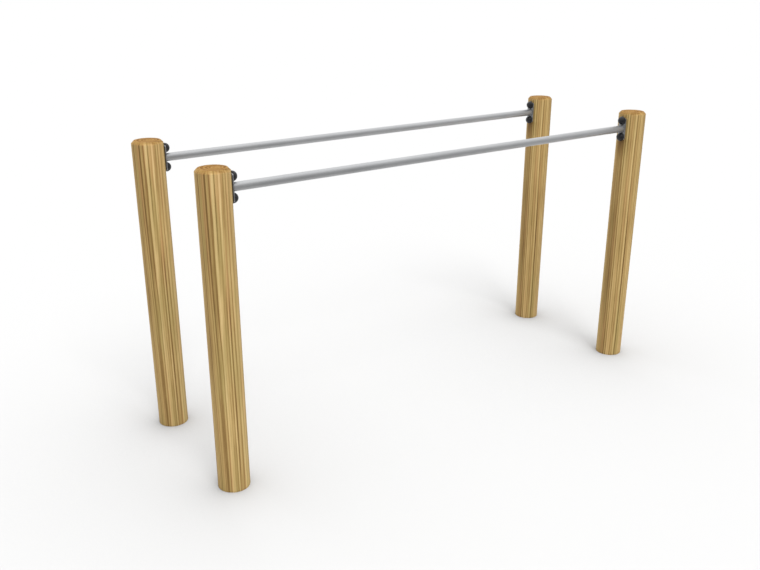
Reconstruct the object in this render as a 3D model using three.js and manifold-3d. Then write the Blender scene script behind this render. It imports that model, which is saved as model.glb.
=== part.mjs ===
// Outdoor parallel bars: two level steel bars, each one held between two round timber
// posts by end plates, coach screws and domed plastic bolt caps.
// Millimetres, +Z up. +X runs along the bars and +Y from the front bar to the back bar.
// The origin is on the ground, at the centre of the footprint.

import * as THREE from 'three';
import { mergeVertices } from 'three/addons/utils/BufferGeometryUtils.js';
import Module from 'manifold-3d';

const wasm = await Module();
wasm.setup();

// ---------------------------------------------------------------- driving dimensions

const GAP = 0.3;                    // left between two pieces that touch

const POST_HEIGHT = 1225;
const POST_DIAMETER = 122;
const POST_SPACING_ALONG = 2120;    // post axis to post axis, along a bar
const POST_SPACING_ACROSS = 600;    // post axis to post axis, from bar to bar
const POST_CHAMFER = 9.5;

const BAR_HEIGHT = 1150;            // ground to bar axis
const BAR_DIAMETER = 32;
const BAR_WALL = 3;

const PLATE_WIDTH = 40;
const PLATE_HEIGHT = 100;
const PLATE_THICKNESS = 5;
const PLATE_CORNER = 8;
const PLATE_HOLE_DIAMETER = 11;
const WELD_LEG = 2.4;

const SCREW_SPACING = 76;           // upper to lower screw of one plate
const SCREW_DIAMETER = 10;
const SCREW_CORE_DIAMETER = 7;
const SCREW_PITCH = 4.5;
const SCREW_LENGTH = 100;           // under the head
const SCREW_THREAD_LENGTH = 60;
const SCREW_TIP_LENGTH = 9;
const SCREW_TIP_DIAMETER = 1.2;
const SCREW_HEAD_ACROSS_FLATS = 17;
const SCREW_HEAD_HEIGHT = 7;
const SCREW_HEAD_FACE_DIAMETER = 16.2;   // the round flat that the chamfer leaves
const SCREW_HEAD_CHAMFER_ANGLE = THREE.MathUtils.degToRad(30);

const WASHER_DIAMETER = 20;
const WASHER_BORE = 10.8;
const WASHER_THICKNESS = 2;

const CAP_DIAMETER = 38;
const CAP_HEIGHT = 20.5;            // end plate to the top of the dome
const CAP_SKIRT_HEIGHT = 1.5;       // the straight rim below the dome
const CAP_WALL = 2;
const CAP_BASE_FLOOR = 2;
const CAP_BASE_RIM_HEIGHT = 6;

// Steps round a full turn, or over a quarter arc.
const POST_STEPS = 56;
const BAR_STEPS = 32;
const CAP_STEPS = 16;
const WASHER_STEPS = 12;
const HOLE_STEPS = 12;
const SCREW_STEPS = 8;
const THREAD_ROWS_PER_TURN = 2;
const PLATE_CURVE_STEPS = 5;
const DOME_ARC_STEPS = 4;
const HEXAGON = 6;

// Places along an end plate's normal, counted from the post's side towards the bar.
const PLATE_BACK = GAP;
const PLATE_FRONT = PLATE_BACK + PLATE_THICKNESS;
const BAR_END = PLATE_FRONT + GAP;
const CAP_BACK = PLATE_FRONT + GAP;
const WASHER_BACK = CAP_BACK + CAP_BASE_FLOOR + GAP;
const HEAD_BACK = WASHER_BACK + WASHER_THICKNESS + GAP;
const SCREW_TIP = HEAD_BACK - SCREW_LENGTH;

const CAP_INNER_RADIUS = CAP_DIAMETER / 2 - CAP_WALL;

// ---------------------------------------------------------------- materials

const timber = new THREE.MeshStandardMaterial({ color: 0xb0925f, roughness: 0.75, metalness: 0 });
const barSteel = new THREE.MeshStandardMaterial({ color: 0xb4b6b8, roughness: 0.35, metalness: 1 });
const plateSteel = new THREE.MeshStandardMaterial({ color: 0xa3a5a6, roughness: 0.45, metalness: 1 });
const weldSteel = new THREE.MeshStandardMaterial({ color: 0x97999b, roughness: 0.5, metalness: 1 });
const screwSteel = new THREE.MeshStandardMaterial({ color: 0xa9a79f, roughness: 0.4, metalness: 1 });
const capPlastic = new THREE.MeshStandardMaterial({ color: 0x1c1b1d, roughness: 0.45, metalness: 0 });

// ---------------------------------------------------------------- helpers

// A closed mesh with only its corner positions, shared between neighbouring faces.
function closedMesh(geometry) {
  const bare = geometry.clone();
  bare.deleteAttribute('normal');
  bare.deleteAttribute('uv');
  return mergeVertices(bare);
}

// The three.js geometry as a solid for cutting and joining.
function solid(geometry) {
  const mesh = closedMesh(geometry);
  return new wasm.Manifold(new wasm.Mesh({
    numProp: 3,
    vertProperties: Float32Array.from(mesh.attributes.position.array),
    triVerts: Uint32Array.from(mesh.index.array),
  }));
}

// A cut or joined solid as a three.js geometry again.
function geometryOf(manifold) {
  const mesh = manifold.getMesh();
  const geometry = new THREE.BufferGeometry();
  geometry.setAttribute('position', new THREE.BufferAttribute(mesh.vertProperties, 3));
  geometry.setIndex(new THREE.BufferAttribute(mesh.triVerts, 1));
  return geometry;
}

// A profile of [radius, distance along the axis] pairs turned about the X axis.
function turnedAlongX(profile, steps) {
  const points = profile.map(([radius, along]) => new THREE.Vector2(radius, along));
  return new THREE.LatheGeometry(points, steps).rotateZ(-Math.PI / 2);
}

// A round rod along X, from one place to another.
function rodAlongX(radius, from, to, steps) {
  return turnedAlongX([[0, from], [radius, from], [radius, to], [0, to]], steps);
}

// A ring along X, from one place to another.
function ringAlongX(innerRadius, outerRadius, from, to, steps) {
  const profile = [
    [innerRadius, from],
    [outerRadius, from],
    [outerRadius, to],
    [innerRadius, to],
    [innerRadius, from],
  ];
  return turnedAlongX(profile, steps);
}

function addPiece(group, name, geometry, material, position = new THREE.Vector3()) {
  const mesh = new THREE.Mesh(geometry, material);
  mesh.name = name;
  mesh.position.copy(position);
  group.add(mesh);
}

// ---------------------------------------------------------------- timber post

// A post on the Z axis. Its two blind pilot holes open on the side that +X points out of,
// a hair wider than the screw threads that they hold.
function postGeometry() {
  const radius = POST_DIAMETER / 2;
  const profile = [
    [0, 0],
    [radius, 0],
    [radius, POST_HEIGHT - POST_CHAMFER],
    [radius - POST_CHAMFER, POST_HEIGHT],
    [0, POST_HEIGHT],
  ];
  const points = profile.map(([across, up]) => new THREE.Vector2(across, up));
  const round = new THREE.LatheGeometry(points, POST_STEPS).rotateX(Math.PI / 2);
  let post = solid(round);
  for (const up of [-SCREW_SPACING / 2, SCREW_SPACING / 2]) {
    const deep = radius + SCREW_TIP - GAP;
    const past = radius + GAP;
    const hole = rodAlongX(SCREW_DIAMETER / 2 + GAP, deep, past, HOLE_STEPS);
    hole.translate(0, 0, BAR_HEIGHT + up);
    post = post.subtract(solid(hole));
  }
  return geometryOf(post);
}

// ---------------------------------------------------------------- bar, plate and weld

// The bar on the X axis: a tube that is open at both ends.
function barGeometry() {
  const half = (POST_SPACING_ALONG - POST_DIAMETER) / 2 - BAR_END;
  const outer = BAR_DIAMETER / 2;
  return ringAlongX(outer - BAR_WALL, outer, -half, half, BAR_STEPS);
}

// An upright plate with round corners and a screw hole near each end, its thickness along X.
function plateGeometry() {
  const across = PLATE_WIDTH / 2 - PLATE_CORNER;
  const up = PLATE_HEIGHT / 2 - PLATE_CORNER;
  const quarter = Math.PI / 2;
  const outline = new THREE.Shape();
  outline.absarc(across, -up, PLATE_CORNER, -quarter, 0);
  outline.absarc(across, up, PLATE_CORNER, 0, quarter);
  outline.absarc(-across, up, PLATE_CORNER, quarter, 2 * quarter);
  outline.absarc(-across, -up, PLATE_CORNER, 2 * quarter, 3 * quarter);
  for (const middle of [-SCREW_SPACING / 2, SCREW_SPACING / 2]) {
    const hole = new THREE.Path();
    hole.absarc(0, middle, PLATE_HOLE_DIAMETER / 2, 0, Math.PI * 2);
    outline.holes.push(hole);
  }
  const plate = new THREE.ExtrudeGeometry(outline, {
    depth: PLATE_THICKNESS,
    bevelEnabled: false,
    curveSegments: PLATE_CURVE_STEPS,
  });
  // The outline's width goes along Y and its height along Z.
  return plate.rotateX(Math.PI / 2).rotateZ(Math.PI / 2).translate(PLATE_BACK, 0, 0);
}

// The weld bead: a ring with a three-sided section in the corner of bar and plate.
function weldGeometry() {
  const inner = BAR_DIAMETER / 2 + GAP;
  const profile = [
    [inner, BAR_END],
    [inner + WELD_LEG, BAR_END],
    [inner, BAR_END + WELD_LEG],
    [inner, BAR_END],
  ];
  return turnedAlongX(profile, BAR_STEPS);
}

// ---------------------------------------------------------------- screw and washer

// The radius of the helical thread at a distance from the screw's tip, at an angle round
// it. The thread runs out in a gimlet tip.
function threadRadius(fromTip, angle) {
  const core = SCREW_CORE_DIAMETER / 2;
  const depth = (SCREW_DIAMETER - SCREW_CORE_DIAMETER) / 2;
  const turn = fromTip / SCREW_PITCH - angle / (2 * Math.PI);
  const ridge = 1 - Math.abs(2 * (turn - Math.floor(turn)) - 1);
  const tip = SCREW_TIP_DIAMETER / 2;
  const taper = Math.min(1, fromTip / SCREW_TIP_LENGTH);
  return tip + (core + depth * ridge - tip) * taper;
}

// The threaded end: a rod with rows of corners that follow the thread.
function threadGeometry() {
  const rows = Math.round(THREAD_ROWS_PER_TURN * SCREW_THREAD_LENGTH / SCREW_PITCH);
  const rod = new THREE.CylinderGeometry(1, 1, SCREW_THREAD_LENGTH, SCREW_STEPS, rows);
  rod.translate(0, SCREW_THREAD_LENGTH / 2, 0);
  const corners = rod.attributes.position;
  for (let i = 0; i < corners.count; i += 1) {
    const across = new THREE.Vector2(corners.getX(i), corners.getZ(i));
    const onAxis = across.length() === 0;
    if (!onAxis) across.setLength(threadRadius(corners.getY(i), across.angle()));
    corners.setX(i, across.x);
    corners.setZ(i, across.y);
  }
  return rod.rotateZ(-Math.PI / 2).translate(SCREW_TIP, 0, 0);
}

// The hexagon head, its outer corners cut by a cone.
function headSolid() {
  const corner = SCREW_HEAD_ACROSS_FLATS / 2 / Math.cos(Math.PI / HEXAGON);
  const hexagon = new THREE.CylinderGeometry(corner, corner, SCREW_HEAD_HEIGHT, HEXAGON);
  hexagon.rotateZ(-Math.PI / 2).translate(HEAD_BACK + SCREW_HEAD_HEIGHT / 2, 0, 0);
  const faceRadius = SCREW_HEAD_FACE_DIAMETER / 2;
  const reach = SCREW_HEAD_HEIGHT / Math.tan(SCREW_HEAD_CHAMFER_ANGLE);
  const cone = turnedAlongX([
    [0, HEAD_BACK - GAP],
    [faceRadius + reach, HEAD_BACK - GAP],
    [faceRadius + reach, HEAD_BACK],
    [faceRadius, HEAD_BACK + SCREW_HEAD_HEIGHT],
    [0, HEAD_BACK + SCREW_HEAD_HEIGHT],
  ], HOLE_STEPS);
  return solid(hexagon).intersect(solid(cone));
}

function screwGeometry() {
  const threadEnd = SCREW_TIP + SCREW_THREAD_LENGTH;
  const shank = rodAlongX(SCREW_DIAMETER / 2, threadEnd - GAP, HEAD_BACK + GAP, HOLE_STEPS);
  return geometryOf(headSolid().add(solid(shank)).add(solid(threadGeometry())));
}

function washerGeometry() {
  const front = WASHER_BACK + WASHER_THICKNESS;
  return ringAlongX(WASHER_BORE / 2, WASHER_DIAMETER / 2, WASHER_BACK, front, WASHER_STEPS);
}

// ---------------------------------------------------------------- two-part bolt cap

// The cup that the washer clamps on the plate.
function capBaseGeometry() {
  const outer = CAP_INNER_RADIUS - GAP;
  const inner = outer - CAP_WALL;
  const bore = PLATE_HOLE_DIAMETER / 2;
  const floor = CAP_BACK + CAP_BASE_FLOOR;
  const rim = CAP_BACK + CAP_BASE_RIM_HEIGHT;
  const profile = [
    [bore, CAP_BACK],
    [outer, CAP_BACK],
    [outer, rim],
    [inner, rim],
    [inner, floor],
    [bore, floor],
    [bore, CAP_BACK],
  ];
  return turnedAlongX(profile, CAP_STEPS);
}

// Corners of a quarter ellipse that closes on the axis, from its rim up to its top.
function quarterArc(radius, spring, top) {
  const corners = [];
  for (let i = 0; i <= DOME_ARC_STEPS; i += 1) {
    const angle = (i / DOME_ARC_STEPS) * (Math.PI / 2);
    const across = i === DOME_ARC_STEPS ? 0 : radius * Math.cos(angle);
    corners.push([across, spring + (top - spring) * Math.sin(angle)]);
  }
  return corners;
}

// The domed shell that snaps over the base and hides the screw head.
function capDomeGeometry() {
  const outer = CAP_DIAMETER / 2;
  const top = CAP_BACK + CAP_HEIGHT;
  const outside = quarterArc(outer, CAP_BACK + CAP_SKIRT_HEIGHT, top);
  const inside = quarterArc(CAP_INNER_RADIUS, CAP_BACK + CAP_BASE_RIM_HEIGHT + GAP, top - CAP_WALL);
  const profile = [[CAP_INNER_RADIUS, CAP_BACK], [outer, CAP_BACK], ...outside];
  profile.push(...inside.reverse(), [CAP_INNER_RADIUS, CAP_BACK]);
  return turnedAlongX(profile, CAP_STEPS);
}

// ---------------------------------------------------------------- assembly

const geometries = {
  post: postGeometry(),
  bar: barGeometry(),
  plate: plateGeometry(),
  weld: weldGeometry(),
  screw: screwGeometry(),
  washer: washerGeometry(),
  capBase: capBaseGeometry(),
  capDome: capDomeGeometry(),
};

// Everything that fastens one bar end. The group's origin is where the bar's axis meets
// the post's side, and its +X axis points along the bar.
function barEnd(label) {
  const end = new THREE.Group();
  addPiece(end, `end_plate_${label}`, geometries.plate, plateSteel);
  addPiece(end, `weld_${label}`, geometries.weld, weldSteel);
  for (const [level, up] of [['upper', SCREW_SPACING / 2], ['lower', -SCREW_SPACING / 2]]) {
    const place = new THREE.Vector3(0, 0, up);
    addPiece(end, `coach_screw_${label}_${level}`, geometries.screw, screwSteel, place);
    addPiece(end, `washer_${label}_${level}`, geometries.washer, screwSteel, place);
    addPiece(end, `cap_base_${label}_${level}`, geometries.capBase, capPlastic, place);
    addPiece(end, `cap_dome_${label}_${level}`, geometries.capDome, capPlastic, place);
  }
  return end;
}

// One post and the bar end that it carries, in a frame whose +X axis points along the bar.
function postWithBarEnd(label) {
  const group = new THREE.Group();
  addPiece(group, `post_${label}`, geometries.post, timber);
  const end = barEnd(label);
  end.position.set(POST_DIAMETER / 2, 0, BAR_HEIGHT);
  group.add(end);
  return group;
}

const parallelBars = new THREE.Group();
const rows = [['front', -POST_SPACING_ACROSS / 2], ['back', POST_SPACING_ACROSS / 2]];
const sides = [['left', -POST_SPACING_ALONG / 2], ['right', POST_SPACING_ALONG / 2]];
for (const [row, across] of rows) {
  const barCentre = new THREE.Vector3(0, across, BAR_HEIGHT);
  addPiece(parallelBars, `bar_${row}`, geometries.bar, barSteel, barCentre);
  for (const [side, along] of sides) {
    const upright = postWithBarEnd(`${row}_${side}`);
    upright.position.set(along, across, 0);
    if (along > 0) upright.rotation.z = Math.PI;
    parallelBars.add(upright);
  }
}

export default parallelBars;
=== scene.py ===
"""The looks of the outdoor parallel bars: round timber posts, satin steel bars, welded end
plates and black bolt caps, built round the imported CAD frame. Metres, +Z up, +X along the bars."""

import itertools
import math

import bmesh
import bpy
import numpy as np
from mathutils import Euler, Matrix, Vector


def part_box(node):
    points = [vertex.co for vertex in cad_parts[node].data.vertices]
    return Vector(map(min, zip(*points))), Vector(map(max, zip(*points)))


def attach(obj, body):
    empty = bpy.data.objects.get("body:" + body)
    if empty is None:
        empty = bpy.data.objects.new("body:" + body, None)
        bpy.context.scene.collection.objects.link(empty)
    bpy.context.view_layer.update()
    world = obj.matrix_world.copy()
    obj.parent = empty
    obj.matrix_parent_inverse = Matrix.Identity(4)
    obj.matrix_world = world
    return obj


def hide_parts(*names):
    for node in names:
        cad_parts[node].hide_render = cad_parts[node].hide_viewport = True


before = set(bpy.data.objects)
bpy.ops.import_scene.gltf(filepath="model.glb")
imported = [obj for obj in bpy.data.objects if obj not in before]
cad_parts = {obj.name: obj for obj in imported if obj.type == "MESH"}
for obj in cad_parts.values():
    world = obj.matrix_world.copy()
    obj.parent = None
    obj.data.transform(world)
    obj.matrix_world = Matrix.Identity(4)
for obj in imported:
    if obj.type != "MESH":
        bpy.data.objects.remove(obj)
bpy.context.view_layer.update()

MM = 0.001
ROWS = ("front", "back")
SIDES = ("left", "right")
LEVELS = ("upper", "lower")


# ------------------------------------------------------------------ node trees


class Nodes:
    """A node tree and the few kinds of nodes that the patterns are made of."""

    def __init__(self, tree):
        self.tree = tree

    def node(self, kind, **settings):
        made = self.tree.nodes.new(kind)
        for key, value in settings.items():
            setattr(made, key, value)
        return made

    def feed(self, socket, value):
        """Links an output to a socket, or sets the socket's own value."""
        if isinstance(value, bpy.types.NodeSocket):
            self.tree.links.new(value, socket)
        else:
            socket.default_value = value

    def attribute(self, name, output="Fac"):
        return self.node("ShaderNodeAttribute", attribute_name=name).outputs[output]

    def place(self):
        return self.node("ShaderNodeTexCoord").outputs["Object"]

    def axes(self, vector):
        made = self.node("ShaderNodeSeparateXYZ")
        self.feed(made.inputs[0], vector)
        return made.outputs

    def math(self, operation, first, second=0.0, third=0.0):
        made = self.node("ShaderNodeMath", operation=operation)
        for socket, value in zip(made.inputs, (first, second, third)):
            self.feed(socket, value)
        return made.outputs[0]

    def stretched(self, place, scale, shift=(0, 0, 0)):
        made = self.node("ShaderNodeMapping")
        self.feed(made.inputs["Vector"], place)
        made.inputs["Scale"].default_value = scale
        made.inputs["Location"].default_value = shift
        return made.outputs[0]

    def noise(self, place, scale=1.0, detail=2.0, roughness=0.5):
        made = self.node("ShaderNodeTexNoise")
        self.feed(made.inputs["Vector"], place)
        made.inputs["Scale"].default_value = scale
        made.inputs["Detail"].default_value = detail
        made.inputs["Roughness"].default_value = roughness
        return made.outputs["Fac"]

    def line_noise(self, value, scale):
        """Noise along one number."""
        made = self.node("ShaderNodeTexNoise", noise_dimensions="1D")
        self.feed(made.inputs["W"], value)
        made.inputs["Scale"].default_value = scale
        made.inputs["Detail"].default_value = 0.0
        return made.outputs["Fac"]

    def span(self, value, low, high, to_low=0.0, to_high=1.0):
        """The value's place between low and high, smoothed and kept inside."""
        made = self.node("ShaderNodeMapRange", interpolation_type="SMOOTHSTEP")
        self.feed(made.inputs["Value"], value)
        made.inputs["From Min"].default_value = low
        made.inputs["From Max"].default_value = high
        made.inputs["To Min"].default_value = to_low
        made.inputs["To Max"].default_value = to_high
        return made.outputs["Result"]

    def ramp(self, value, stops):
        made = self.node("ShaderNodeValToRGB")
        elements = made.color_ramp.elements
        while len(elements) < len(stops):
            elements.new(1.0)
        for element, (place, colour) in zip(elements, stops):
            element.position = place
            element.color = (*colour, 1.0)
        self.feed(made.inputs["Fac"], value)
        return made.outputs["Color"]

    def mix(self, share, first, second, blend="MIX"):
        made = self.node("ShaderNodeMix", data_type="RGBA", blend_type=blend)
        self.feed(made.inputs["Factor"], share)
        for socket, value in ((made.inputs[6], first), (made.inputs[7], second)):
            self.feed(socket, (*value, 1.0) if isinstance(value, tuple) else value)
        return made.outputs[2]

    def bump(self, height, depth, strength):
        made = self.node("ShaderNodeBump")
        made.inputs["Distance"].default_value = depth
        made.inputs["Strength"].default_value = strength
        self.feed(made.inputs["Height"], height)
        return made.outputs["Normal"]


class Shading(Nodes):
    """A material with one principled shader."""

    def __init__(self, name):
        self.material = bpy.data.materials.new(name)
        self.material.use_nodes = True
        super().__init__(self.material.node_tree)
        self.shader = self.tree.nodes["Principled BSDF"]

    def surface(self, **values):
        """Sets or links the shader's sockets, named with _ for a space."""
        for key, value in values.items():
            self.feed(self.shader.inputs[key.replace("_", " ")], value)


# ------------------------------------------------------------------ materials

# Noise scales are in cells to the metre, along X, Y and Z where there are three of them, and
# colours are linear red, green and blue.

LINES_ROUND = 36              # dark grain lines round a post's side
LINE_RISE = (0.38, 0.84)      # where, in a line or ring, its dark edge comes in
LINE_FALL = (0.88, 1.0)       # and where it ends
LINE_WOBBLE = 0.35            # of a line's spacing
FAINT_LINE = 0.20             # strength of the faintest line, where 1 is the hardest


def dark_lines(wood, count, wobble, scale):
    """1 on the hard dark edge of each line or ring, some of them fainter. The scale picks
    which are faint."""
    count = wood.math("MULTIPLY_ADD", wobble, LINE_WOBBLE, count)
    part = wood.math("FRACT", count)
    rise = wood.span(part, *LINE_RISE)
    fall = wood.span(part, *LINE_FALL, 1.0, 0.0)
    kind = wood.line_noise(wood.math("FLOOR", count), scale)
    strength = wood.span(kind, 0.30, 0.70, FAINT_LINE, 1.0)
    return wood.math("MULTIPLY", wood.math("MULTIPLY", rise, fall), strength)


def side_colour(wood, place, side_lines, fibres):
    """The long grain: straw to brown by the lines, streaks and fibres, with warm and green
    patches, and darkened by the painted shade below the caps and at the foot."""
    broad = wood.noise(wood.stretched(place, (45, 45, 3.0)), detail=3)
    lightness = wood.math("MULTIPLY_ADD", side_lines, -0.46, 0.645)
    # the tone holds the streaks and also the painted shade below the caps and at the foot
    lightness = wood.math("MULTIPLY_ADD", wood.attribute("wood_tone"), 0.30, lightness)
    lightness = wood.math("MULTIPLY_ADD", wood.span(broad, 0.3, 0.7, -1, 1), 0.08, lightness)
    lightness = wood.math("MULTIPLY_ADD", wood.span(fibres, 0.3, 0.7, -1, 1), 0.09, lightness)
    flecks = wood.noise(wood.stretched(place, (1500, 1500, 28)), detail=2)
    lightness = wood.math("MULTIPLY_ADD", wood.span(flecks, 0.60, 0.72), -0.14, lightness)
    side = wood.ramp(lightness, (
        (0.0, (0.125, 0.062, 0.016)),
        (0.30, (0.255, 0.152, 0.046)),
        (0.58, (0.425, 0.285, 0.105)),
        (0.80, (0.575, 0.405, 0.170)),
        (1.0, (0.715, 0.530, 0.255)),
    ))
    warm = wood.noise(wood.stretched(place, (75, 75, 2.2), (3, 1, 7)), detail=2)
    side = wood.mix(wood.span(warm, 0.52, 0.72, 0.0, 0.40), side, (0.520, 0.290, 0.120))
    green = wood.noise(wood.stretched(place, (30, 30, 2.5), (9, 4, 2)), detail=2)
    return wood.mix(wood.span(green, 0.48, 0.75, 0.0, 0.35), side, (0.300, 0.250, 0.078))


def end_colour(wood, place, ring, rings):
    """The end grain: orange-brown rings in broad paler and darker arcs, with fine rays."""
    rays = wood.noise(wood.stretched(place, (900, 900, 40)), detail=3)
    patches = wood.noise(wood.stretched(place, (30, 30, 4), (5, 8, 1)), detail=1)
    bands = wood.line_noise(ring, 0.30)
    arcs = wood.math("MULTIPLY_ADD", bands, 0.65, wood.math("MULTIPLY", patches, 0.35))
    end_light = wood.math("MULTIPLY_ADD", rings, -0.34, 0.66)
    end_light = wood.math("MULTIPLY_ADD", wood.span(arcs, 0.38, 0.60, -1, 1), 0.22, end_light)
    end_light = wood.math("MULTIPLY_ADD", wood.span(rays, 0.3, 0.7, -1, 1), 0.07, end_light)
    return wood.ramp(end_light, (
        (0.0, (0.095, 0.038, 0.008)),
        (0.45, (0.215, 0.105, 0.025)),
        (0.70, (0.275, 0.150, 0.042)),
        (1.0, (0.380, 0.230, 0.075)),
    ))


def timber_material():
    """Machine-rounded, impregnated softwood: straight grain lines down the side, thin fibres,
    orange end grain with annual rings, and dark drying checks."""
    wood = Shading("timber")
    place = wood.attribute("wood_place", "Vector")
    end_grain = wood.attribute("wood_end")
    ring = wood.attribute("wood_ring")
    across = wood.axes(place)
    turn = wood.math("ARCTAN2", across["Y"], across["X"])
    shift = wood.attribute("wood_shift")
    grain = wood.math("MULTIPLY_ADD", turn, LINES_ROUND / (2 * math.pi), shift)
    wobble = wood.noise(wood.stretched(place, (160, 160, 5)), detail=3)
    side_lines = dark_lines(wood, grain, wobble, 0.73)
    rings = dark_lines(wood, ring, wobble, 0.41)
    fibres = wood.noise(wood.stretched(place, (520, 520, 9)), detail=4, roughness=0.6)

    side = side_colour(wood, place, side_lines, fibres)
    end = end_colour(wood, place, ring, rings)
    colour = wood.mix(end_grain, side, end)
    crack = wood.math("MULTIPLY", wood.attribute("wood_crack"), 0.85)
    colour = wood.mix(crack, colour, (0.055, 0.030, 0.012))

    lines = wood.mix(end_grain, side_lines, rings)
    grain_height = wood.math("MULTIPLY_ADD", fibres, 0.6, wood.math("MULTIPLY", lines, 0.4))
    wood.surface(
        Base_Color=colour,
        Roughness=wood.span(fibres, 0.2, 0.8, 0.66, 0.84),
        Normal=wood.bump(grain_height, 0.35 * MM, 0.7),
        Specular_IOR_Level=wood.span(end_grain, 0.0, 1.0, 0.28, 0.06),
    )
    return wood.material


def tube_material():
    """Satin grey steel tube: faint drawing lines along it and soft, wide-spaced cloudiness."""
    steel = Shading("satin_tube")
    place = steel.place()
    lines = steel.noise(steel.stretched(place, (5, 700, 700)), detail=4, roughness=0.6)
    clouds = steel.noise(steel.stretched(place, (6, 40, 40)), detail=3)
    specks = steel.noise(place, 900, detail=2)
    shade = steel.math("MULTIPLY_ADD", lines, 0.4, steel.math("MULTIPLY", clouds, 0.6))
    steel.surface(
        Base_Color=steel.ramp(shade, (
            (0.35, (0.310, 0.315, 0.322)),
            (0.65, (0.370, 0.375, 0.382)),
        )),
        Metallic=0.70,
        Roughness=steel.math("MULTIPLY_ADD", clouds, 0.14, 0.36),
        Normal=steel.bump(steel.math("ADD", lines, specks), 0.02 * MM, 0.35),
    )
    return steel.material


def plate_material():
    """Zinc-coated flat steel with the coating's pale crystals and faint stains."""
    zinc = Shading("zinc_plate")
    place = zinc.place()
    crystals = zinc.node("ShaderNodeTexVoronoi", feature="F1")
    zinc.feed(crystals.inputs["Vector"], zinc.stretched(place, (160, 160, 160)))
    tint = zinc.noise(crystals.outputs["Position"], 0.35, detail=1)
    stain = zinc.noise(place, 90, detail=5, roughness=0.65)
    shade = zinc.math("MULTIPLY_ADD", tint, 0.6, zinc.math("MULTIPLY", stain, 0.4))
    zinc.surface(
        Base_Color=zinc.ramp(shade, (
            (0.25, (0.195, 0.198, 0.203)),
            (0.55, (0.280, 0.283, 0.288)),
            (0.80, (0.370, 0.373, 0.377)),
        )),
        Metallic=1.0,
        Roughness=zinc.math("MULTIPLY_ADD", stain, 0.25, 0.36),
        Normal=zinc.bump(stain, 0.06 * MM, 0.5),
    )
    return zinc.material


def weld_material():
    """The weld bead: duller metal with a brown-blue heat tint and fine scale."""
    bead = Shading("weld_bead")
    place = bead.place()
    scale_marks = bead.noise(place, 700, detail=5, roughness=0.7)
    tint = bead.noise(place, 120, detail=2)
    colour = bead.mix(bead.span(tint, 0.4, 0.7), (0.290, 0.285, 0.280), (0.240, 0.215, 0.190))
    colour = bead.mix(bead.span(scale_marks, 0.55, 0.8, 0.0, 0.5), colour, (0.09, 0.085, 0.08))
    bead.surface(
        Base_Color=colour,
        Metallic=1.0,
        Roughness=bead.math("MULTIPLY_ADD", scale_marks, 0.3, 0.38),
        Normal=bead.bump(scale_marks, 0.08 * MM, 0.6),
    )
    return bead.material


def fastener_material():
    """Zinc-plated, faintly yellow screws and washers with tumbling marks."""
    bolt = Shading("zinc_fastener")
    place = bolt.place()
    marks = bolt.noise(place, 1300, detail=3, roughness=0.6)
    cloud = bolt.noise(place, 180, detail=2)
    bolt.surface(
        Base_Color=bolt.ramp(cloud, (
            (0.3, (0.470, 0.450, 0.395)),
            (0.7, (0.580, 0.575, 0.545)),
        )),
        Metallic=1.0,
        Roughness=bolt.math("MULTIPLY_ADD", marks, 0.25, 0.25),
        Normal=bolt.bump(marks, 0.03 * MM, 0.4),
    )
    return bolt.material


def cap_material():
    """Black moulded plastic with a fine grain and a little dust."""
    plastic = Shading("moulded_cap")
    place = plastic.place()
    grain = plastic.noise(place, 2200, detail=2)
    flow = plastic.noise(place, 60, detail=2)
    dust = plastic.noise(place, 350, detail=4, roughness=0.7)
    dusty = plastic.span(dust, 0.5, 0.8, 0.0, 0.25)
    colour = plastic.mix(dusty, (0.008, 0.008, 0.010), (0.020, 0.019, 0.018))
    plastic.surface(
        Base_Color=colour,
        Roughness=plastic.math("MULTIPLY_ADD", flow, 0.12, 0.36),
        Normal=plastic.bump(grain, 0.03 * MM, 0.5),
        Specular_IOR_Level=0.30,
    )
    return plastic.material


# ------------------------------------------------------------------ mesh helpers

ON_AXIS = 1e-7                # a smaller radius is taken as none
CREASE = 35                   # degrees between two faces from which their edge is sharp


def fillet(profile, radii, steps=4):
    """A line of points with the corners that have a radius rounded. A closed line repeats
    no point, and its radii start at its first point."""
    made = []
    count = len(profile)
    for i, (corner, radius) in enumerate(zip(profile, radii)):
        corner = Vector(corner)
        if not radius:
            made.append(tuple(corner))
            continue
        back = (Vector(profile[i - 1]) - corner).normalized()
        on = (Vector(profile[(i + 1) % count]) - corner).normalized()
        half = back.angle(on) / 2
        reach = radius / math.tan(half)
        centre = corner + (back + on).normalized() * (radius / math.sin(half))
        start = (corner + back * reach - centre).normalized()
        end = (corner + on * reach - centre).normalized()
        for k in range(steps + 1):
            made.append(tuple(centre + start.slerp(end, k / steps) * radius))
    return made


def turned(profile, steps, closed):
    """Vertices and faces of a profile of (radius, along X) turned about the X axis. A point
    on the axis becomes one vertex."""
    points, rings = [], []
    for radius, along in profile:
        if radius < ON_AXIS:
            rings.append([len(points)] * steps)
            points.append((along, 0.0, 0.0))
            continue
        rings.append(list(range(len(points), len(points) + steps)))
        for k in range(steps):
            turn = 2 * math.pi * k / steps
            points.append((along, radius * math.cos(turn), radius * math.sin(turn)))
    faces = []
    following = rings[1:] + rings[:1] if closed else rings[1:]
    for lower, upper in zip(rings, following):
        for k in range(steps):
            n = (k + 1) % steps
            corners = [lower[k], lower[n], upper[n], upper[k]]
            faces.append(list(dict.fromkeys(corners)))
    return points, [f for f in faces if len(f) > 2]


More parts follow.
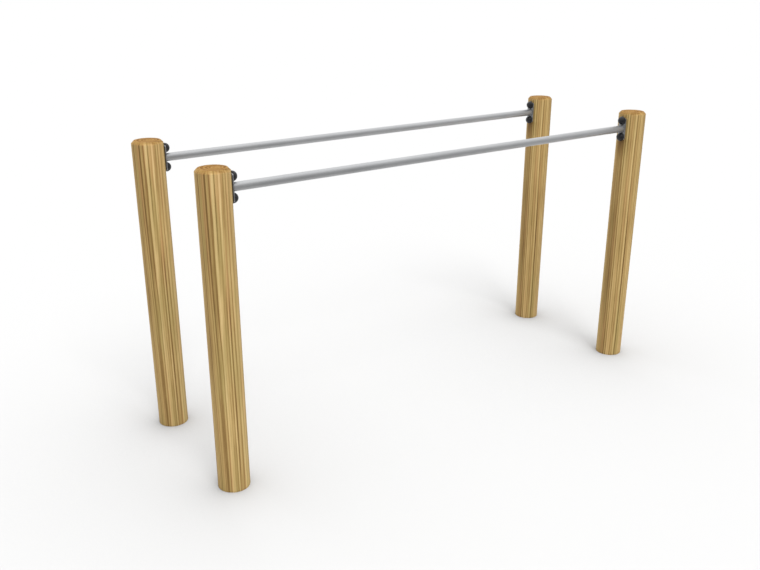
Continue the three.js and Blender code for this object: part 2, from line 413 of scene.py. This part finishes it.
def add_piece(
    name, points, faces, spot, material, stands_for, fields=None, crease=CREASE
):
    """A piece in the row frame, placed by the matrix spot, which rides on the root body."""
    mesh = bpy.data.meshes.new(name)
    mesh.from_pydata([tuple(p) for p in points], [], faces)
    for key, values in (fields or {}).items():
        kind = "FLOAT_VECTOR" if values.ndim == 2 else "FLOAT"
        field = mesh.attributes.new(key, kind, "POINT")
        field.data.foreach_set("vector" if values.ndim == 2 else "value", values.ravel())
    tidy = bmesh.new()
    tidy.from_mesh(mesh)
    bmesh.ops.recalc_face_normals(tidy, faces=tidy.faces)
    tidy.to_mesh(mesh)
    tidy.free()
    mesh.transform(spot)
    mesh.shade_smooth()
    mesh.set_sharp_from_angle(angle=math.radians(crease))
    mesh.materials.append(material)
    piece = bpy.data.objects.new(name, mesh)
    bpy.context.scene.collection.objects.link(piece)
    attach(piece, "root")
    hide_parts(stands_for)
    return piece


# ------------------------------------------------------------------ timber

COLUMNS = 340                 # round a post
SIDE_ROWS = 170
LATTICE = 32                  # cells before the value noise repeats

CHAMFER = 9.5 * MM
CHAMFER_LEAN = math.radians(45)
EDGE_ROUND = 1.2 * MM         # where the side turns into the chamfer
EDGE_ROWS = 5
EDGE_LIFT = 0.2 * MM          # the rounding's height above a true one
CHAMFER_ROWS = 8
BRIM = 0.6 * MM               # where the chamfer stops short of the flat top
BRIM_ROWS = ((-0.4, 0.25), (-0.05, 0.08), (0.3, 0.0))  # millimetres inwards and down
BRIM_FACING = (0.3, 0.95)     # share outwards and upwards
BRIM_END_GRAIN = 0.7
FOOT_ROUND = 0.3 * MM
FIRST_ROW = 0.4 * MM          # height of the side's lowest row
CHAMFER_END_GRAIN = (0.45, 0.80)  # share of end grain that shows at its foot and its top
FOOT_SHARES = (0.0, 0.3, 0.6, 0.85, 0.985)  # rings of the foot, as shares of the radius
TOP_SHARES = (
    0.97, 0.93, 0.88, 0.82, 0.75, 0.68, 0.6, 0.52, 0.44, 0.36, 0.28, 0.2, 0.12, 0.06, 0.0,
)

PITH = (12.5 * MM, 1.5 * MM)  # centre of the annual rings, off the post's axis
RING_WIDTH = 2.6 * MM
RING_STRAY = 1.0 * MM         # how far a ring wanders
RING_SWELL = 7 * MM           # the wave in which wide and narrow rings follow each other
FLAME_CELL = (0.035, 0.035, 1.50)  # metres to a cell of the noise that bends the grain
QUICK_CELL = (0.011, 0.011, 0.50)
FINE_CELL = (0.0022, 0.0022, 0.06)
FLAME_SEED = 3
QUICK_SEED = 4
FINE_SEED = 5
SPIRAL = math.radians(2.5)    # the grain's turn over the post's height
SWAY = math.radians(1.2)      # the grain's slow sway to both sides
SWAY_LENGTH = 0.17            # metres to a radian of it
RELIEF = 0.28 * MM            # the soft wood's depth below the hard lines
FINE_RELIEF = 0.25            # the fine fibres' share of it
CHECK_ROOM = 1.6              # half widths on each side of a check, cleared of even columns
CHECK_COLUMNS = (-1.5, -1, -0.5, 0, 0.5, 1, 1.5)  # the columns there instead
CHECK_FADE = 0.08             # share of the height over which a drying check runs out
CHECK_REACH = (0.55, 0.9)     # shares of the radius between which a check opens on the top

FOOT_CONTACT_SHADE = 0.25             # painted contact shade at the ground line
FOOT_CONTACT_SHADE_HEIGHT = 9 * MM
UNDER_CAP_SHADE = 1.0                  # painted shade that the lower cap and the plate cast on the wood below them
UNDER_CAP_SHADE_LENGTH = 110 * MM
UNDER_CAP_SHADE_HALF_WIDTH = 28.0      # degrees

# Drying checks: angle and half width in degrees, top and bottom as shares of the height,
# and depth in millimetres.
CHECKS = (
    (-112.0, 0.42, 1.00, 0.74, 1.3),
    (-89.5, 0.50, 0.66, 0.05, 1.6),
    (33.0, 0.42, 1.00, 0.80, 1.3),
    (67.5, 0.50, 0.62, 0.02, 1.6),
    (152.0, 0.60, 0.90, 0.30, 2.0),
)

# Streaks of paler and darker wood: angle at the top, angle at the foot and half width in
# degrees, top and bottom as shares of the height, and tone, darker below 0 and paler above.
STREAKS = (
    (-172, -174, 9.0, 1.4, 0.35, -0.35),
    (-174, -177, 10.0, 0.6, -0.4, -0.30),
    (-165, -166, 7.0, 0.65, 0.25, -0.30),
    (-162, -162, 9.0, 1.4, -0.4, -0.25),
    (-150, -150, 7.0, 1.4, 0.55, -0.40),
    (-142, -138, 3.6, 1.4, 0.60, -1.55),
    (-141, -136, 2.6, 0.75, -0.4, -1.00),
    (-134, -132, 5.0, 1.4, -0.4, -0.50),
    (-124, -124, 3.0, 0.80, -0.4, 0.30),
    (-118, -117, 4.0, 1.4, -0.4, 0.80),
    (-112, -112, 1.8, 1.4, 0.65, -0.55),
    (-113, -110, 3.0, 0.8, -0.4, 0.30),
    (-106, -106, 3.0, 1.4, -0.4, 0.40),
    (-96, -96, 5.5, 1.4, 0.60, 1.15),
    (-100, -100, 2.6, 0.8, -0.4, -0.35),
    (-95, -94, 2.0, 0.8, -0.4, 0.80),
    (-88, -88, 2.6, 1.1, -0.4, -0.85),
    (-83, -83, 4.0, 1.4, 0.70, -0.40),
    (-82, -82, 3.0, 0.75, 0.2, 0.35),
    (-76, -76, 3.0, 0.8, -0.4, 0.15),
    (-67, -64, 5.0, 1.4, -0.4, 0.50),
    (-58, -58, 2.6, 1.4, 0.25, -0.50),
    (-46, -50, 9.0, 1.4, -0.4, 0.65),
    (-5, 0, 19.0, 1.4, -0.4, -0.60),
    (4, 8, 11.0, 0.70, -0.4, -0.15),
    (27, 30, 5.0, 1.4, -0.4, 0.35),
    (34, 35, 2.2, 1.4, 0.72, -0.70),
    (46, 46, 3.0, 1.4, 0.60, 0.30),
    (52, 53, 4.0, 1.4, -0.4, -0.45),
    (60, 61, 3.6, 1.4, -0.4, 0.65),
    (69, 69, 3.0, 1.1, -0.4, -0.85),
    (75, 75, 3.0, 0.8, -0.4, 0.30),
    (81, 82, 4.0, 0.8, -0.4, -0.25),
    (92, 97, 13.0, 1.4, -0.4, 0.40),
    (128, 131, 3.0, 1.4, 0.30, -0.60),
    (148, 150, 9.0, 1.4, -0.4, 0.25),
)
STREAK_FADE = (0.2, 0.25)     # shares of the height over which a streak ends and starts
BROAD_STREAK = 10             # a streak with a wider half width than this has firm edges
FIRM_EDGE = 6
SOFT_EDGE = 2                 # powers in the fall of a streak's tone


def value_noise(points, seed):
    """Smooth noise between -1 and 1 at each row of points, one lattice cell to the unit."""
    lattice = np.random.default_rng(seed).uniform(-1, 1, (LATTICE,) * 3)
    cell = np.floor(points).astype(int)
    part = points - cell
    part = part * part * (3 - 2 * part)
    total = np.zeros(len(points))
    for corner in itertools.product((0, 1), repeat=3):
        at = (cell + corner) % LATTICE
        share = np.prod(np.where(corner, part, 1 - part), axis=1)
        total += share * lattice[at[:, 0], at[:, 1], at[:, 2]]
    return total


def smooth(value, low, high):
    share = np.clip((value - low) / (high - low), 0, 1)
    return share * share * (3 - 2 * share)


def away(angle, other):
    """Degrees between two angles, the short way round."""
    return np.abs((angle - other + 180) % 360 - 180)


def ring_phase(place):
    """How many annual rings lie between the pith and each place."""
    x, y, _ = place.T
    out = np.hypot(x - PITH[0], y - PITH[1])
    out = out + RING_STRAY * value_noise(place / FLAME_CELL, FLAME_SEED)
    return out / RING_WIDTH + 0.5 * np.sin(out / RING_SWELL)


def line_shift(place):
    """How far the side's grain lines stray from even spacing, in line spacings."""
    slow = value_noise(place / FLAME_CELL, FLAME_SEED)
    quick = value_noise(place / QUICK_CELL, QUICK_SEED)
    return 0.9 * slow + 0.25 * quick


def dark_edge(count):
    """1 on a line's hard dark edge and 0 on its soft pale part."""
    part = count % 1
    return smooth(part, *LINE_RISE) * (1 - smooth(part, *LINE_FALL))


def column_angles():
    """Angles round the post in degrees, with more of them across each check."""
    angles = set(np.round(np.arange(COLUMNS) * 360 / COLUMNS - 180, 3))
    for angle, half_width, *_ in CHECKS:
        angles -= {a for a in angles if away(a, angle) < CHECK_ROOM * half_width}
        angles |= {round(angle + half_width * s, 3) for s in CHECK_COLUMNS}
    return np.array(sorted(angles))


def post_profile(radius, height):
    """Rows of (radius, height, outward share, upward share, end grain) from the middle of
    the foot to the middle of the top."""
    rows = [(radius * share, 0.0, 0.0, 0.0, 1.0) for share in FOOT_SHARES]
    rows.append((radius - FOOT_ROUND, 0.0, 0.0, 0.0, 0.5))
    rows += [
        (radius, z, 1.0, 0.0, 0.0)
        for z in np.linspace(FIRST_ROW, height - CHAMFER - EDGE_ROUND, SIDE_ROWS)
    ]
    low_end, high_end = CHAMFER_END_GRAIN
    for k in range(1, EDGE_ROWS + 1):
        turn = CHAMFER_LEAN * k / EDGE_ROWS
        rows.append((
            radius - EDGE_ROUND * (1 - math.cos(turn)),
            height - CHAMFER - EDGE_ROUND * (1 - math.sin(turn)) + EDGE_LIFT,
            math.cos(turn),
            math.sin(turn),
            low_end * k / EDGE_ROWS,
        ))
    start_radius, start_height = rows[-1][:2]
    top_radius = radius - CHAMFER
    for k in range(1, CHAMFER_ROWS):
        share = k / CHAMFER_ROWS
        rows.append((
            start_radius + (top_radius + BRIM - start_radius) * share,
            start_height + (height - BRIM - start_height) * share,
            math.cos(CHAMFER_LEAN),
            math.sin(CHAMFER_LEAN),
            low_end + (high_end - low_end) * share,
        ))
    for inwards, drop in BRIM_ROWS:
        place = (top_radius - inwards * MM, height - drop * MM)
        rows.append((*place, *BRIM_FACING, BRIM_END_GRAIN))
    rows += [(top_radius * share, height, 0.0, 1.0, 1.0) for share in TOP_SHARES]
    return np.array(rows)


def streak_tone(angle, share):
    """How dark or pale the streaks make each place, by its angle and its share of the
    height."""
    tone = np.zeros(len(angle))
    for at_top, at_foot, half_width, top, bottom, strength in STREAKS:
        middle = at_foot + (at_top - at_foot) * share
        edge = FIRM_EDGE if half_width > BROAD_STREAK else SOFT_EDGE
        across = np.exp(-((away(angle, middle) / half_width) ** edge))
        ends = 1 - smooth(share, top - STREAK_FADE[0], top)
        starts = smooth(share, bottom, bottom + STREAK_FADE[1])
        tone += strength * across * (ends * starts)
    return tone


def check_groove(check, angle, share, reach):
    """0 to 1: how deep into its groove each place of a drying check lies."""
    middle, half_width, top, bottom, _ = check
    ends = smooth(share, bottom, bottom + CHECK_FADE)
    if top < 1:
        ends = ends * (1 - smooth(share, top - CHECK_FADE, top))
    across = np.clip(1 - away(angle, middle) / half_width, 0, 1)
    return across * ends * smooth(reach, *CHECK_REACH)


def post_fields(radius, height, joint_foot):
    """One post's points, faces and pattern fields, in a frame whose +X side takes the bar,
    whose end plate's lower edge is at joint_foot."""
    angles = column_angles()
    rows = post_profile(radius, height)
    theta = np.tile(angles, len(rows))
    ring_radius, z, outward, upward, end = np.repeat(rows, len(angles), axis=0).T
    share = z / height
    lean = SPIRAL * (1 - share) + SWAY * np.sin(z / SWAY_LENGTH)
    turn = np.radians(theta)
    straight = np.stack([ring_radius * np.cos(turn), ring_radius * np.sin(turn), z], 1)

    rings = ring_phase(straight)
    shift = line_shift(straight)
    side_lines = dark_edge(theta / 360 * LINES_ROUND + shift)
    lines = side_lines + (dark_edge(rings) - side_lines) * end
    fine = value_noise(straight / FINE_CELL, FINE_SEED)
    fine_depth = FINE_RELIEF * (0.5 + 0.5 * fine)
    depth = RELIEF * ((1 - FINE_RELIEF) * (1 - lines) + fine_depth)

    true_angle = theta + np.degrees(lean)
    tone = streak_tone(true_angle, share)
    # painted contact shade along the foot, where the post meets the floor
    tone -= FOOT_CONTACT_SHADE * (1 - smooth(z, 0, FOOT_CONTACT_SHADE_HEIGHT))
    # painted shade on the wood below the lower cap, fading downwards from the plate's lower edge
    under_cap_shade = smooth(z, joint_foot - UNDER_CAP_SHADE_LENGTH, joint_foot) * (z < joint_foot)
    tone -= UNDER_CAP_SHADE * under_cap_shade * np.exp(-((away(true_angle, 0) / UNDER_CAP_SHADE_HALF_WIDTH) ** 2))

    crack = np.zeros(len(theta))
    reach = np.clip(ring_radius / radius, 0, 1)
    for check in CHECKS:
        groove = check_groove(check, theta, share, reach)
        crack = np.maximum(crack, np.sqrt(groove))
        depth = depth + check[-1] * MM * groove
    moved_radius = ring_radius - depth * outward
    points = np.stack([
        moved_radius * np.cos(turn + lean),
        moved_radius * np.sin(turn + lean),
        z - depth * upward,
    ], 1)

    columns = len(angles)
    faces = []
    for r in range(len(rows) - 1):
        for c in range(columns):
            n = (c + 1) % columns
            low, high = r * columns, (r + 1) * columns
            faces.append([low + c, low + n, high + n, high + c])
    fields = {
        "wood_place": straight,
        "wood_ring": rings,
        "wood_shift": shift,
        "wood_tone": tone,
        "wood_end": end,
        "wood_crack": crack,
    }
    return points, faces, fields


def close_poles(points, faces, fields, columns):
    """Joins the first and last row's points, which lie on the axis, into one point each."""
    last = len(points) - columns
    keep = np.concatenate([[0], np.arange(columns, last + 1)])
    new_index = np.zeros(len(points), int)
    new_index[keep] = np.arange(len(keep))
    new_index[:columns] = 0
    new_index[last:] = len(keep) - 1
    joined = [list(dict.fromkeys(int(new_index[i]) for i in face)) for face in faces]
    return points[keep], joined, {k: v[keep] for k, v in fields.items()}


# ------------------------------------------------------------------ steel and caps

PLATE_CORNER = 8 * MM
PLATE_CORNER_STEPS = 10
PLATE_EDGE = 0.6 * MM         # its softly broken edge
HOLE_RADIUS = 5.5 * MM
HOLE_STEPS = 48
SHARP_EDGE = 1.2              # radians between two faces from which a plate's edge is broken
EDGE_STEPS = 3                # across a broken edge

BAR_WALL = 3 * MM
BAR_EDGE = 0.4 * MM
BAR_STEPS = 128

BEAD_STEPS = 240              # round the bar
BEAD_ROWS = 10                # from the plate to the bar
BEAD_GAP = 0.3 * MM           # between the weld's CAD solid and the plate, filled here
BEAD_EDGES = 0.80             # size of its edges and how much the middle adds, in legs
BEAD_BELLY = 0.14
BEAD_RIPPLES = 34             # how many, their depth, and how far their middles lag behind
BEAD_RIPPLE_DEPTH = 0.09
BEAD_RIPPLE_LAG = 2.2
BEAD_SWELLS = 5               # slower swells round the bar: how many, depth and start
BEAD_SWELL_DEPTH = 0.05
BEAD_SWELL_START = 1.3

CAP_SKIRT = 1.5 * MM          # the straight rim below the dome
CAP_FOOT_EDGE = 0.35 * MM     # the small chamfer at the rim's foot
CAP_STEP = (0.22 * MM, 0.25 * MM)  # from the rim in to the dome, across and along
CAP_WALL = 2 * MM
CAP_STEPS = 96
DOME_STEPS = 26               # over a quarter turn
DIMPLE_RADIUS = 1.5 * MM      # the moulding mark on the dome's top
DIMPLE_DEPTH = 0.2 * MM


def plate_mesh(width, height, thickness, holes):
    """A flat plate with round corners and bored holes, its edges softly broken. Its back
    lies on X 0 and its thickness runs along +X."""
    shape = bmesh.new()
    outline = [
        (-width / 2, -height / 2),
        (width / 2, -height / 2),
        (width / 2, height / 2),
        (-width / 2, height / 2),
    ]
    loops = [fillet(outline, [PLATE_CORNER] * 4, PLATE_CORNER_STEPS)]
    for middle in holes:
        loops.append([
            (HOLE_RADIUS * math.cos(t), middle + HOLE_RADIUS * math.sin(t))
            for t in np.linspace(0, 2 * math.pi, HOLE_STEPS, endpoint=False)
        ])
    edges = []
    for loop in loops:
        corners = [shape.verts.new((0.0, y, z)) for y, z in loop]
        edges += [shape.edges.new(pair) for pair in zip(corners, corners[1:] + corners[:1])]
    bmesh.ops.triangle_fill(shape, use_beauty=True, use_dissolve=False, edges=edges)
    grown = bmesh.ops.extrude_face_region(shape, geom=list(shape.faces))
    moved = [v for v in grown["geom"] if isinstance(v, bmesh.types.BMVert)]
    bmesh.ops.translate(shape, vec=(thickness, 0, 0), verts=moved)
    bmesh.ops.recalc_face_normals(shape, faces=shape.faces)
    rim = [
        e for e in shape.edges
        if len(e.link_faces) == 2 and e.calc_face_angle() > SHARP_EDGE
    ]
    bmesh.ops.bevel(
        shape, geom=rim, offset=PLATE_EDGE, segments=EDGE_STEPS, profile=0.5, affect="EDGES"
    )
    points = [tuple(v.co) for v in shape.verts]
    shape.verts.index_update()
    faces = [[v.index for v in f.verts] for f in shape.faces]
    shape.free()
    return points, faces


def weld_mesh(radius, start, leg):
    """A rippled fillet weld round a tube on the X axis, from the plate's face at start."""
    points, faces = [], []
    for k in range(BEAD_STEPS):
        turn = 2 * math.pi * k / BEAD_STEPS
        for j in range(BEAD_ROWS):
            share = j / (BEAD_ROWS - 1)
            arc = share * math.pi / 2
            bulge = math.sin(arc * 2)
            ripple = math.sin(BEAD_RIPPLES * turn + BEAD_RIPPLE_LAG * bulge) * bulge
            swell = math.sin(BEAD_SWELLS * turn + BEAD_SWELL_START)
            grow = 1 + BEAD_RIPPLE_DEPTH * ripple + BEAD_SWELL_DEPTH * swell
            belly = leg * (BEAD_EDGES + BEAD_BELLY * bulge) * grow
            out = radius + belly * math.sin(arc)
            along = start + belly * math.cos(arc)
            points.append((along, out * math.cos(turn), out * math.sin(turn)))
        points.append((start, radius * math.cos(turn), radius * math.sin(turn)))
    size = BEAD_ROWS + 1
    for k in range(BEAD_STEPS):
        n = (k + 1) % BEAD_STEPS
        for j in range(size):
            m = (j + 1) % size
            faces.append([k * size + j, k * size + m, n * size + m, n * size + j])
    return points, faces


def dome_profile(radius, height):
    """Half section of a cap's domed shell: out along the rim, over the dome, back inside."""
    dome_radius = radius - CAP_STEP[0]
    dimple = height - DIMPLE_DEPTH
    rise = height - CAP_SKIRT
    arc = [math.pi / 2 * k / DOME_STEPS for k in range(1, DOME_STEPS - 1)]
    profile = [
        (radius - CAP_FOOT_EDGE, 0.0),
        (radius, CAP_FOOT_EDGE),
        (radius, CAP_SKIRT - CAP_STEP[1]),
        (dome_radius, CAP_SKIRT),
    ]
    profile += [(dome_radius * math.cos(a), CAP_SKIRT + rise * math.sin(a)) for a in arc]
    profile += [(DIMPLE_RADIUS, height), (DIMPLE_RADIUS - DIMPLE_DEPTH, dimple), (0.0, dimple)]
    inner = radius - CAP_WALL
    rise -= CAP_WALL
    profile.append((0.0, height - CAP_WALL))
    profile += [
        (inner * math.cos(a), CAP_SKIRT + rise * math.sin(a)) for a in reversed(arc)
    ]
    profile.append((inner, 0.0))
    return profile


# ------------------------------------------------------------------ assembly

TIMBER_CREASE = 50
CAP_CREASE = 40


def half_turn(side):
    """What a piece at the right-hand posts is turned by, since it is made for the left."""
    return Matrix.Rotation(math.pi if side == "right" else 0.0, 4, "Z")


def add_timber(label, side, post, material):
    points, faces, fields = post
    low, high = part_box(f"post_{label}")
    centre = (low + high) / 2
    spot = Matrix.Translation((centre.x, centre.y, 0)) @ half_turn(side)
    add_piece(
        f"timber_{label}", points, faces, spot, material, f"post_{label}",
        fields, crease=TIMBER_CREASE,
    )


def add_cap(label, level, side, seat, back, up, material):
    """A domed cap at the height up over the plate's middle, on the plate whose back is at
    the place back along X."""
    low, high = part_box(f"cap_dome_{label}_{level}")
    near = low.x if side == "left" else high.x
    profile = dome_profile((high.y - low.y) / 2, high.x - low.x)
    points, faces = turned(profile, CAP_STEPS, closed=True)
    spot = seat @ Matrix.Translation((abs(near - back), 0, up))
    add_piece(
        f"cap_{label}_{level}", points, faces, spot, material,
        f"cap_dome_{label}_{level}", crease=CAP_CREASE,
    )


def add_bar_end(row, side, plate_steel, weld_steel, cap_plastic):
    """The end plate, the weld bead and the two caps at one end of a bar."""
    label = f"{row}_{side}"
    low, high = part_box(f"end_plate_{label}")
    size = high - low
    middle = (low + high) / 2
    back = low.x if side == "left" else high.x
    seat = Matrix.Translation((back, middle.y, middle.z)) @ half_turn(side)

    ups = []
    for level in LEVELS:
        cap_low, cap_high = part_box(f"cap_dome_{label}_{level}")
        ups.append((cap_low.z + cap_high.z) / 2 - middle.z)
    points, faces = plate_mesh(size.y, size.z, size.x, ups)
    add_piece(
        f"plate_{label}", points, faces, seat, plate_steel,
        f"end_plate_{label}",
    )

    bar_low, bar_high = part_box(f"bar_{row}")
    weld_low, weld_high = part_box(f"weld_{label}")
    leg = weld_high.x - weld_low.x + BEAD_GAP
    points, faces = weld_mesh((bar_high.z - bar_low.z) / 2, size.x, leg)
    add_piece(
        f"bead_{label}", points, faces, seat, weld_steel, f"weld_{label}",
    )

    for level, up in zip(LEVELS, ups):
        add_cap(label, level, side, seat, back, up, cap_plastic)


def add_tube(row, material):
    low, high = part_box(f"bar_{row}")
    radius = (high.z - low.z) / 2
    half = (high.x - low.x) / 2
    bore = radius - BAR_WALL
    section = [(radius, -half), (radius, half), (bore, half), (bore, -half)]
    section = fillet(section, [BAR_EDGE] * 4, EDGE_STEPS)
    points, faces = turned(section, BAR_STEPS, closed=True)
    spot = Matrix.Translation((low + high) / 2)
    add_piece(f"tube_{row}", points, faces, spot, material, f"bar_{row}")


def post_mesh():
    """The mesh and pattern that all four posts share."""
    low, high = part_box("post_front_left")
    plate_low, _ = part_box("end_plate_front_left")
    made = post_fields((high.y - low.y) / 2, high.z, plate_low.z)
    return close_poles(*made, len(column_angles()))


def build_object():
    post = post_mesh()
    timber = timber_material()
    tube_steel = tube_material()
    plate_steel = plate_material()
    weld_steel = weld_material()
    fastener_steel = fastener_material()
    cap_plastic = cap_material()
    for row, side in itertools.product(ROWS, SIDES):
        add_timber(f"{row}_{side}", side, post, timber)
        add_bar_end(row, side, plate_steel, weld_steel, cap_plastic)
    for row in ROWS:
        add_tube(row, tube_steel)

    kept = {"coach_screw": fastener_steel, "washer": fastener_steel, "cap_base": cap_plastic}
    for name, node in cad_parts.items():
        for start, material in kept.items():
            if name.startswith(start):
                node.data.materials.clear()
                node.data.materials.append(material)


# ------------------------------------------------------------------ floor, lights, camera

FLOOR_REACH = 900.0           # one wide triangle, so that no seam crosses the view
FLOOR_SEEN = 0.579            # how much light the floor sends to the camera
FLOOR_BOUNCE = 0.40           # how much it sends back up to the object

# How much of the floor the satin steel shows: more behind the object than in front of it,
# and still more towards +X. The reaches are in metres.
FLOOR_MIRRORED = (0.22, 0.74)
MIRROR_REACH = (-2.4, 0.0)
FLOOR_MIRRORED_RIGHT = 0.16
RIGHT_REACH = (0.0, 3.0)

# The soft shade round the feet.
SHADE_REACH = 1.2
SHADE_SAMPLES = 8
SHADE_LEAN = (0.268, -0.155, 0.951)  # it falls away from this direction
SHADE_DEPTH = 0.37            # a higher power is a deeper shade
SHADE_TINTED = 0.6            # shade that takes the whole tint, where 1 is none
COOL_SHADE = (0.940, 0.965, 1.0)  # offsets the timber's warm reflection beside the feet

HORIZON_LIGHT = 0.62
OVERHEAD_LIGHT = 1.20         # added to the horizon's light, straight up
OVERHEAD_POWER = 1.5          # how quickly that fades towards the horizon
BACK_LIGHT = 0.45             # added towards +Y
BACK_REACH = (-0.1, 0.9)      # the direction's share of +Y between which that comes in

# What the steel gains or loses of that light in its reflections.
MIRRORED_FRONT = -0.25        # towards -Y
MIRRORED_RIGHT = 0.22         # towards +X
MIRRORED_TOP = 0.32           # straight up
MIRRORED_RIGHT_REACH = (0.3, 0.9)  # the direction's share of +X

KEY_STRENGTH = 1.30
KEY_ELEVATION = math.radians(48)
KEY_AZIMUTH = math.radians(-8.5)
KEY_SPREAD = math.radians(28)

CAMERA_PLACE = (-2.1851, -2.8789, 1.8320)
CAMERA_AZIMUTH = math.radians(-34.987)
CAMERA_ELEVATION = math.radians(20.341)
CAMERA_LENS = 39.916          # millimetres, on a sensor 36 mm wide
SENSOR_WIDTH = 36.0
CAMERA_SIGHT = 500.0          # how far the camera sees, in metres


def floor_material():
    """Pale grey, with separate strengths for what the camera sees, what lights the object
    and what the steel mirrors, and a soft cool shade near the posts."""
    look = Shading("floor")
    path = look.node("ShaderNodeLightPath")
    seen = path.outputs["Is Camera Ray"]
    grey = look.math("MULTIPLY_ADD", seen, FLOOR_SEEN - FLOOR_BOUNCE, FLOOR_BOUNCE)
    ground = look.axes(look.place())
    glow = look.span(ground["Y"], *MIRROR_REACH, *FLOOR_MIRRORED)
    right = look.span(ground["X"], *RIGHT_REACH, 0.0, FLOOR_MIRRORED_RIGHT)
    glow = look.math("SUBTRACT", look.math("ADD", glow, right), FLOOR_BOUNCE)
    grey = look.math("MULTIPLY_ADD", path.outputs["Is Glossy Ray"], glow, grey)

    lean = look.node("ShaderNodeCombineXYZ")
    for socket, value in zip(lean.inputs, SHADE_LEAN):
        socket.default_value = value
    near = look.node("ShaderNodeAmbientOcclusion", samples=SHADE_SAMPLES)
    near.inputs["Distance"].default_value = SHADE_REACH
    look.feed(near.inputs["Normal"], lean.outputs[0])
    shade = look.math("POWER", near.outputs["AO"], SHADE_DEPTH)
    grey = look.math("MULTIPLY", grey, shade)
    cool = look.ramp(shade, ((SHADE_TINTED, COOL_SHADE), (1.0, (1.0, 1.0, 1.0))))
    look.surface(
        Base_Color=look.mix(1.0, cool, grey, "MULTIPLY"),
        Roughness=1.0,
        Specular_IOR_Level=0.0,
    )
    return look.material


def build_floor():
    mesh = bpy.data.meshes.new("floor")
    third = 2 * math.pi / 3
    corners = [
        (FLOOR_REACH * math.cos(third * k), FLOOR_REACH * math.sin(third * k), 0)
        for k in range(3)
    ]
    mesh.from_pydata(corners, [], [(0, 1, 2)])
    mesh.materials.append(floor_material())
    floor = bpy.data.objects.new("floor", mesh)
    bpy.context.scene.collection.objects.link(floor)


def build_sky():
    """A white studio, brighter overhead and behind the object. The camera sees it white."""
    world = bpy.data.worlds.new("studio")
    world.use_nodes = True
    bpy.context.scene.world = world
    sky = Nodes(world.node_tree)
    towards = sky.axes(sky.node("ShaderNodeTexCoord").outputs["Generated"])
    path = sky.node("ShaderNodeLightPath")

    overhead = sky.math("MAXIMUM", towards["Z"], 0.0)
    overhead = sky.math("POWER", overhead, OVERHEAD_POWER)
    light = sky.math("MULTIPLY_ADD", overhead, OVERHEAD_LIGHT, HORIZON_LIGHT)
    light = sky.math("ADD", light, sky.span(towards["Y"], *BACK_REACH, 0.0, BACK_LIGHT))

    top = sky.math("MULTIPLY", towards["Z"], towards["Z"])
    front = sky.span(towards["Y"], -1.0, 0.0, MIRRORED_FRONT, 0.0)
    right = sky.span(towards["X"], *MIRRORED_RIGHT_REACH, 0.0, MIRRORED_RIGHT)
    sides = sky.math("ADD", front, right)
    mirrored = sky.math("MULTIPLY_ADD", top, MIRRORED_TOP, sides)
    light = sky.math("MULTIPLY_ADD", path.outputs["Is Glossy Ray"], mirrored, light)
    light = sky.math("MAXIMUM", light, path.outputs["Is Camera Ray"])

    background = sky.tree.nodes["Background"]
    background.inputs["Color"].default_value = (1.0, 1.0, 1.0, 1.0)
    sky.feed(background.inputs["Strength"], light)


def build_key():
    """A broad, soft key light that the steel doesn't mirror."""
    data = bpy.data.lights.new("key", "SUN")
    data.energy = KEY_STRENGTH
    data.angle = KEY_SPREAD
    key = bpy.data.objects.new("key", data)
    key.rotation_euler = Euler((math.pi / 2 - KEY_ELEVATION, 0, KEY_AZIMUTH))
    key.visible_glossy = False
    bpy.context.scene.collection.objects.link(key)


def build_camera():
    data = bpy.data.cameras.new("camera")
    data.lens = CAMERA_LENS
    data.sensor_width = SENSOR_WIDTH
    data.clip_end = CAMERA_SIGHT
    camera = bpy.data.objects.new("camera", data)
    camera.location = CAMERA_PLACE
    camera.rotation_euler = Euler((math.pi / 2 - CAMERA_ELEVATION, 0, CAMERA_AZIMUTH))
    bpy.context.scene.collection.objects.link(camera)
    bpy.context.scene.camera = camera
    bpy.context.scene.view_settings.view_transform = "Standard"


build_object()
build_floor()
build_sky()
build_key()
build_camera()
